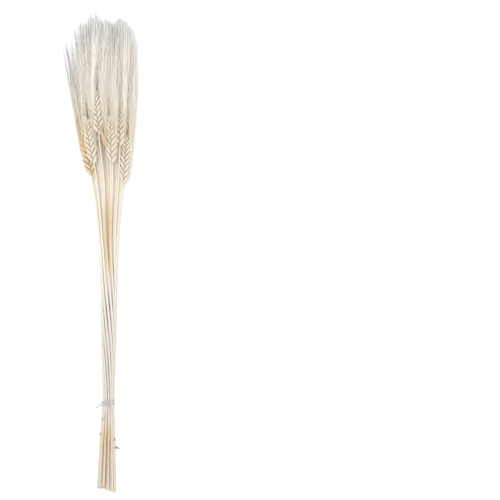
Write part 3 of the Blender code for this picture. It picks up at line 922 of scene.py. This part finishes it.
def linear(hexColour):
    # sRGB hex to linear red, green, blue, alpha
    channels = [int(hexColour[i:i + 2], 16) / 255 for i in (1, 3, 5)]
    return (*[c / 12.92 if c <= 0.04045 else ((c + 0.055) / 1.055) ** 2.4 for c in channels], 1.0)


def newMaterial(name):
    material = bpy.data.materials.new(name)
    material.use_nodes = True
    tree = material.node_tree
    return material, tree.nodes["Principled BSDF"], partial(addNode, tree)


def setRamp(ramp, stops):
    elements = ramp.color_ramp.elements
    while len(elements) < len(stops):
        elements.new(0.5)
    for element, (place, colour) in zip(elements, stops):
        element.position = place
        element.color = linear(colour)


strawLooks = {
    "pale": "#D8D3CD",
    "deep": "#C9C2B8",
    "upper": "#F3ECDD",
    "upperFrom": (-150, 90),  # mm up the bunch, between which the upper colour comes in
    "upperMost": 0.65,
    "golden": "#D0B78E",
    "stain": "#B9A27E",
    "weathered": "#93836F",
    "streakWidth": 0.35,  # mm across, the fine ribs that run up a straw
    "streakLength": 14,
    "patchScale": (90, 9, 90),  # golden patches in a metre, across and along
    "patchMost": 0.16,
}


def strawMaterial():
    # Bleached wheat straw: a waxy skin over fine lengthwise fibres, so a soft shine broken into streaks
    material, shader, add = newMaterial("bleachedWheatStraw")
    place = add("ShaderNodeTexCoord").outputs["Object"]
    fibre = 1 / (strawLooks["streakWidth"] * mm)
    lengthways = 1 / (strawLooks["streakLength"] * mm)
    stretched = add("ShaderNodeMapping", {"Vector": place, "Scale": (fibre, lengthways, fibre)})
    streaks = add("ShaderNodeTexNoise", {"Vector": stretched, "Scale": 1.0, "Detail": 3.0})
    patchPlace = add("ShaderNodeMapping", {"Vector": place, "Scale": strawLooks["patchScale"]})
    patches = add("ShaderNodeTexNoise", {"Vector": patchPlace, "Scale": 1.0, "Detail": 2.0})
    tone = add("ShaderNodeAttribute", attribute_name="tone").outputs["Fac"]
    # The stain attribute holds the straws' real stains at joints, cut ends, sheaths and leaf, and painted
    # shade inside the cut ends' bores
    stain = add("ShaderNodeAttribute", attribute_name="stain").outputs["Fac"]
    ribbed = {"Value": streaks, "From Min": 0.35, "From Max": 0.65, "To Min": 0.6}
    ribbed = add("ShaderNodeMapRange", ribbed)
    stain = add("ShaderNodeMath", {0: stain, 1: ribbed}, operation="MULTIPLY")
    ramp = add("ShaderNodeValToRGB", {0: streaks})
    setRamp(ramp, ((0.3, strawLooks["deep"]), (0.62, strawLooks["pale"])))
    low, high = strawLooks["upperFrom"]
    height = add("ShaderNodeSeparateXYZ", {0: place}).outputs[1]
    upper = {"Value": height, "From Min": low * mm, "From Max": high * mm, "To Max": strawLooks["upperMost"]}
    upper = add("ShaderNodeMapRange", upper)
    patch = {"Value": patches, "From Min": 0.45, "From Max": 0.7, "To Max": strawLooks["patchMost"]}
    patch = add("ShaderNodeMapRange", patch)
    gold = add("ShaderNodeMath", {0: tone, 1: patch}, operation="ADD", use_clamp=True)
    worn = add("ShaderNodeMath", {0: stain, 1: 1.0}, operation="SUBTRACT", use_clamp=True)
    colour = ramp
    for name, amount in (("upper", upper), ("golden", gold), ("stain", stain), ("weathered", worn)):
        mixed = {0: amount, 6: colour, 7: linear(strawLooks[name])}
        colour = add("ShaderNodeMix", mixed, data_type="RGBA")
    setInputs(shader, {
        "Base Color": colour,
        "Normal": add("ShaderNodeBump", {"Strength": 0.5, "Distance": 0.05 * mm, "Height": streaks}),
        "Roughness": add("ShaderNodeMapRange", {"Value": streaks, "To Min": 0.42, "To Max": 0.62}),
        "IOR": 1.5,
    })
    return material


huskLooks = {
    # foot, low and edge: partly the chaff's own gold, partly painted warm shade where the husks' feet and
    # margins lie in the crevices between husks
    "foot": "#EBD3AB",
    "low": "#E7DDCB",
    "body": "#DAD4C9",
    "point": "#DAD2C4",
    "edge": "#DFCFB5",
    "golden": "#D8C09A",
    "veins": 22.0,
    "speckleScale": 1400.0,  # specks in a metre
    "speckleMost": 0.16,
}


def huskMaterial():
    # Dry chaff: papery, matt and pale on its back, golden at its foot and margins, with fine veins. The warm
    # foot and margins are partly the chaff's own gold and partly painted warm shade of the crevices between
    # husks
    material, shader, add = newMaterial("bleachedChaff")
    along = add("ShaderNodeAttribute", attribute_name="along").outputs["Fac"]
    across = add("ShaderNodeAttribute", attribute_name="across").outputs["Fac"]
    tone = add("ShaderNodeAttribute", attribute_name="tone").outputs["Fac"]
    place = add("ShaderNodeTexCoord").outputs["Object"]
    speckle = {"Vector": place, "Scale": huskLooks["speckleScale"], "Detail": 3.0}
    speckle = add("ShaderNodeTexNoise", speckle)
    # Painted warm shade at the husk's foot, which sits in the crevice between husks, over the chaff's own
    # gold there
    ramp = add("ShaderNodeValToRGB", {0: along})
    setRamp(ramp, (
        (0.0, huskLooks["foot"]), (0.14, huskLooks["low"]),
        (0.3, huskLooks["body"]), (1.0, huskLooks["point"]),
    ))
    # Painted warm shade along the margins, which border the gaps between husks, over the chaff's own gold
    # there
    marginGoldAndShade = add("ShaderNodeMath", {0: across}, operation="ABSOLUTE")
    marginGoldAndShade = add("ShaderNodeMath", {0: marginGoldAndShade, 1: 6.0}, operation="POWER")
    marginGoldAndShade = add("ShaderNodeMath", {0: marginGoldAndShade, 1: 0.6}, operation="MULTIPLY")
    flecked = {"Value": speckle, "From Min": 0.35, "From Max": 0.75, "To Max": huskLooks["speckleMost"]}
    flecked = add("ShaderNodeMapRange", flecked)
    gold = add("ShaderNodeMath", {0: tone, 1: flecked}, operation="ADD", use_clamp=True)
    veins = add("ShaderNodeMath", {0: across, 1: huskLooks["veins"]}, operation="MULTIPLY")
    veins = add("ShaderNodeMath", {0: veins}, operation="SINE")
    veins = add("ShaderNodeMath", {0: veins, 1: speckle}, operation="ADD")
    colour = ramp
    for name, amount in (("edge", marginGoldAndShade), ("golden", gold)):
        mixed = {0: amount, 6: colour, 7: linear(huskLooks[name])}
        colour = add("ShaderNodeMix", mixed, data_type="RGBA")
    setInputs(shader, {
        "Base Color": colour,
        "Normal": add("ShaderNodeBump", {"Strength": 0.5, "Distance": 0.08 * mm, "Height": veins}),
        "Roughness": add("ShaderNodeMapRange", {"Value": speckle, "To Min": 0.5, "To Max": 0.7}),
        "IOR": 1.45,
    })
    return material


awnLooks = {
    "foot": "#F6ECD8",
    "body": "#FBF8F1",
    "tip": "#FAFAFC",
    "fan": "#D4D4D7",  # the strands that stand apart at the left, painted grey as shade, where full light leaves a lone awn white
    "golden": "#E8D3AC",
    "palest": (170, 335),  # mm up the bunch, where the foot's colour ends and where the tips' begins
    "barbScale": 2500.0,  # barbs in a metre
}


def awnMaterial():
    # Awns: stiff bleached bristles, straw-coloured at the foot and almost white at the tip; the lone strands
    # at the left are painted grey towards their tips as shade
    material, shader, add = newMaterial("bleachedAwn")
    along = add("ShaderNodeAttribute", attribute_name="along").outputs["Fac"]
    tone = add("ShaderNodeAttribute", attribute_name="tone").outputs["Fac"]
    place = add("ShaderNodeTexCoord").outputs["Object"]
    beside, height, _ = add("ShaderNodeSeparateXYZ", {0: place}).outputs
    low, high = awnLooks["palest"]
    height = {"Value": height, "From Min": low * mm, "From Max": high * mm}
    height = add("ShaderNodeMapRange", height)
    ending = add("ShaderNodeMapRange", {"Value": along, "From Min": 0.6})
    reach = add("ShaderNodeMath", {0: height, 1: ending}, operation="MAXIMUM")
    ramp = add("ShaderNodeValToRGB", {0: reach})
    setRamp(ramp, (
        (0.0, awnLooks["foot"]), (0.3, awnLooks["body"]),
        (0.7, awnLooks["body"]), (1.0, awnLooks["tip"]),
    ))
    # Painted grey shade on the outer part of the awns left of the fan's start, which full light would leave
    # white
    edge = awns["fanFrom"] * mm
    apart = add("ShaderNodeMapRange", {"Value": beside, "From Min": edge, "From Max": edge - 5 * mm})
    ends = add("ShaderNodeMapRange", {"Value": along, "From Min": 0.2, "From Max": 0.7})
    apart = add("ShaderNodeMath", {0: apart, 1: ends}, operation="MULTIPLY")
    left = add("ShaderNodeMath", {0: 1.0, 1: along}, operation="SUBTRACT")
    gold = add("ShaderNodeMath", {0: tone, 1: left}, operation="MULTIPLY", use_clamp=True)
    barbs = {"Vector": place, "Scale": awnLooks["barbScale"], "Detail": 1.0}
    barbs = add("ShaderNodeTexNoise", barbs)
    colour = ramp
    for name, amount in (("fan", apart), ("golden", gold)):
        mixed = {0: amount, 6: colour, 7: linear(awnLooks[name])}
        colour = add("ShaderNodeMix", mixed, data_type="RGBA")
    setInputs(shader, {
        "Base Color": colour,
        "Normal": add("ShaderNodeBump", {"Strength": 0.3, "Distance": 0.05 * mm, "Height": barbs}),
        "Roughness": add("ShaderNodeMapRange", {"Value": barbs, "To Min": 0.4, "To Max": 0.6}),
        "IOR": 1.5,
    })
    return material


twineLooks = {"pale": "#CCC8CB", "deep": "#9F999B", "fibre": 0.12}  # fibre width in mm


def twineMaterial():
    # Undyed cotton twine: matt spun fibres with a faint fuzz
    material, shader, add = newMaterial("cottonTwine")
    place = add("ShaderNodeTexCoord").outputs["Object"]
    fibres = {"Vector": place, "Scale": 1 / (twineLooks["fibre"] * mm), "Detail": 4.0}
    fibres = add("ShaderNodeTexNoise", fibres)
    ramp = add("ShaderNodeValToRGB", {0: fibres})
    setRamp(ramp, ((0.3, twineLooks["deep"]), (0.6, twineLooks["pale"])))
    setInputs(shader, {
        "Base Color": ramp,
        "Normal": add("ShaderNodeBump", {"Strength": 0.7, "Distance": 0.08 * mm, "Height": fibres}),
        "Roughness": add("ShaderNodeMapRange", {"Value": fibres, "To Min": 0.8, "To Max": 0.95}),
        "Sheen Weight": 0.3,
    })
    return material


# Stalks

places = strawPlaces()
stalkGrowth = stalkTree()
growthValues = {
    "Rows": straw["rows"],
    "Sides": straw["sides"],
    "Weld": 0.004 * mm,
    "Lowest": 0.0,
    "Husk": huskShape(),
    "Awn": awnShape(),
    "Straw Material": strawMaterial(),
    "Husk Material": huskMaterial(),
    "Awn Material": awnMaterial(),
}
toneDice = random.Random(7)
for number, home in enumerate(places, start=1):
    stalk = findStalk(number, home)
    skeleton = Skeleton(tones["stalks"].get(number, toneDice.uniform(*tones["otherStalks"])))
    rachis = growEar(skeleton, stalk)
    growStraw(skeleton, stalk, rachis)
    growSleeve(skeleton, stalk)
    if number in shreds:
        growShred(skeleton, stalk)
    if number == leaf["stalk"]:
        growLeaf(skeleton)
    points = skeleton.mesh(f"skeleton{number:02d}")
    piece = grow(f"wheatStalk{number:02d}", points, stalkGrowth, growthValues)
    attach(piece, "root")
    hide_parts(nodeName(number))
for source in (growthValues["Husk"], growthValues["Awn"]):
    bpy.data.objects.remove(source)
print("stalks grown:", len(places))


# String tie: three turns, a knot and two tails of one twine

twine = {
    "radius": 0.6,
    "gap": 0.12,
    "turns": ((-210.6, 1.4, 20), (-213.2, 1.6, 205), (-216.2, 1.7, 40)),  # y, slant and phase of each turn
    "turnPoints": 72,
    "knotAt": (12.4, -213.2, 20.7),
    "knotSize": 0.62,
    "knotSpread": (0.95, 0.8, 0.85),  # across, along and up, against that size
    "knotPoints": 60,
    "longTail": (
        (10.8, -209.4, 19.0),
        (12.0, -211.4, 20.5),
        (12.9, -215.0, 20.7),
        (14.6, -219.2, 19.6),
        (15.2, -223.0, 19.5),
        (12.6, -228.6, 19.7),
        (8.4, -232.6, 19.1),
        (2.5, -236.8, 15.9),
    ),
    "shortTail": ((12.2, -213.4, 20.6), (8.6, -212.2, 18.9), (4.8, -211.9, 16.3), (1.6, -214.8, 14.4),
                  (-1.8, -217.6, 12.5), (-5.2, -220.6, 10.2)),
    "tailSteps": 8,  # points between two of a tail's places
    "splay": 1.6,  # how far the plies open at a tail's end
    "splayOver": (0.86, 1),
    "lay": 3.4,
    "step": 0.45,
    "plyRadius": 0.34,
    "plyOffset": 0.33,
}


def turnPath(y, slant, phase):
    points = []
    for k in range(twine["turnPoints"]):
        angle = math.tau * k / twine["turnPoints"]
        at = y + slant * math.cos(angle - math.radians(phase))
        halfWidth, halfHeight, centreX, centreZ = valuesAt(bunch["profile"], at)
        clear = twine["radius"] + twine["gap"]
        x = centreX + (halfWidth + clear) * math.cos(angle)
        points.append(Vector((x, at, centreZ + (halfHeight + clear) * math.sin(angle))))
    return points


def knotPath():
    # A small trefoil, which is an overhand knot pulled tight
    points = []
    for k in range(twine["knotPoints"]):
        t = math.tau * k / twine["knotPoints"]
        x = math.sin(t) + 2 * math.sin(2 * t)
        y = math.cos(t) - 2 * math.cos(2 * t)
        loop = Vector((x, y, -math.sin(3 * t))) * Vector(twine["knotSpread"])
        points.append(Vector(twine["knotAt"]) + loop * twine["knotSize"])
    return points


def tailPath(route):
    rows = [(k, *point) for k, point in enumerate(route)]
    count = (len(route) - 1) * twine["tailSteps"]
    return [Vector(valuesAt(rows, k / twine["tailSteps"])) for k in range(count + 1)]


def twineSkeleton():
    points, edges, splay = [], [], []
    closed = [turnPath(*turn) for turn in twine["turns"]] + [knotPath()]
    for path in closed + [tailPath(twine["longTail"]), tailPath(twine["shortTail"])]:
        first = len(points)
        points += path
        edges += [(first + k, first + k + 1) for k in range(len(path) - 1)]
        if path in closed:
            edges.append((len(points) - 1, first))
            splay += [0.0] * len(path)
        else:
            shares = [k / (len(path) - 1) for k in range(len(path))]
            splay += [twine["splay"] * ease(share, *twine["splayOver"]) for share in shares]
    mesh = bpy.data.meshes.new("twineSkeleton")
    mesh.from_pydata([(point + bunch["middle"]) * mm for point in points], edges, [])
    mesh.attributes.new("splay", "FLOAT", "POINT").data.foreach_set("value", splay)
    return mesh


tie = grow("twineTie", twineSkeleton(), twineTree(), {
    "Step": twine["step"] * mm,
    "Lay": twine["lay"] * mm,
    "Ply Radius": twine["plyRadius"] * mm,
    "Ply Offset": twine["plyOffset"] * mm,
    "Material": twineMaterial(),
})
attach(tie, "root")
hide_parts("string_tie")
print("twine tied")


# Floor, light and camera

studio = {
    "floorColour": "#F7F7F6",
    "floorSize": 6.0,
    "worldStrength": 0.78,
    "keyPower": 44.0,
    "keySize": 0.7,
    "keyAt": (-0.1, 0.15, 2.8),
    "fillPower": 4.0,
    "fillSize": 1.5,
    "fillAt": (0.9, -0.2, 2.2),
}

floorMesh = bpy.data.meshes.new("studioFloor")
half = studio["floorSize"] / 2
corners = [(-half, -half, 0), (half, -half, 0), (half, half, 0), (-half, half, 0)]
floorMesh.from_pydata(corners, [], [(0, 1, 2, 3)])
floorMaterial, floorShader, _ = newMaterial("studioPaper")
setInputs(floorShader, {"Base Color": linear(studio["floorColour"]), "Roughness": 0.9})
floorMesh.materials.append(floorMaterial)
floor = bpy.data.objects.new("studioFloor", floorMesh)
bpy.context.scene.collection.objects.link(floor)

world = bpy.data.worlds.new("studioWorld")
world.use_nodes = True
setInputs(world.node_tree.nodes["Background"], {"Color": (1, 1, 1, 1), "Strength": studio["worldStrength"]})
bpy.context.scene.world = world
bpy.context.scene.view_settings.view_transform = "Standard"  # keeps the white of the paper white
bpy.context.scene.cycles.max_bounces = 24  # light passes from awn to awn many times
bpy.context.scene.cycles.diffuse_bounces = 24

for name in ("key", "fill"):
    light = bpy.data.lights.new(name, "AREA")
    light.energy = studio[name + "Power"]
    light.size = studio[name + "Size"]
    lamp = bpy.data.objects.new(name, light)
    lamp.location = studio[name + "At"]
    lamp.rotation_euler = (-lamp.location).to_track_quat("-Z", "Y").to_euler()
    bpy.context.scene.collection.objects.link(lamp)

view = {
    "imageWidth": 500,
    "bunchMiddle": (99.5, 252.5),  # the bunch's middle in the photograph, in its pixels
    "pixelSize": 1.414,  # mm of the bunch that one pixel of the photograph covers
    "distance": 4.0,
    "sharpHeight": 0.029,  # height above the floor at which the pixel size holds
}
sightWidth = view["imageWidth"] * view["pixelSize"] * mm
cameraData = bpy.data.cameras.new("photoCamera")
cameraData.lens = cameraData.sensor_width * (view["distance"] - view["sharpHeight"]) / sightWidth
cameraData.clip_end = 20
camera = bpy.data.objects.new("photoCamera", cameraData)
camera.location = (
    (view["imageWidth"] / 2 - view["bunchMiddle"][0]) * view["pixelSize"] * mm,
    (view["bunchMiddle"][1] - view["imageWidth"] / 2) * view["pixelSize"] * mm,
    view["distance"],
)
bpy.context.scene.collection.objects.link(camera)
bpy.context.scene.camera = camera
print("studio set")
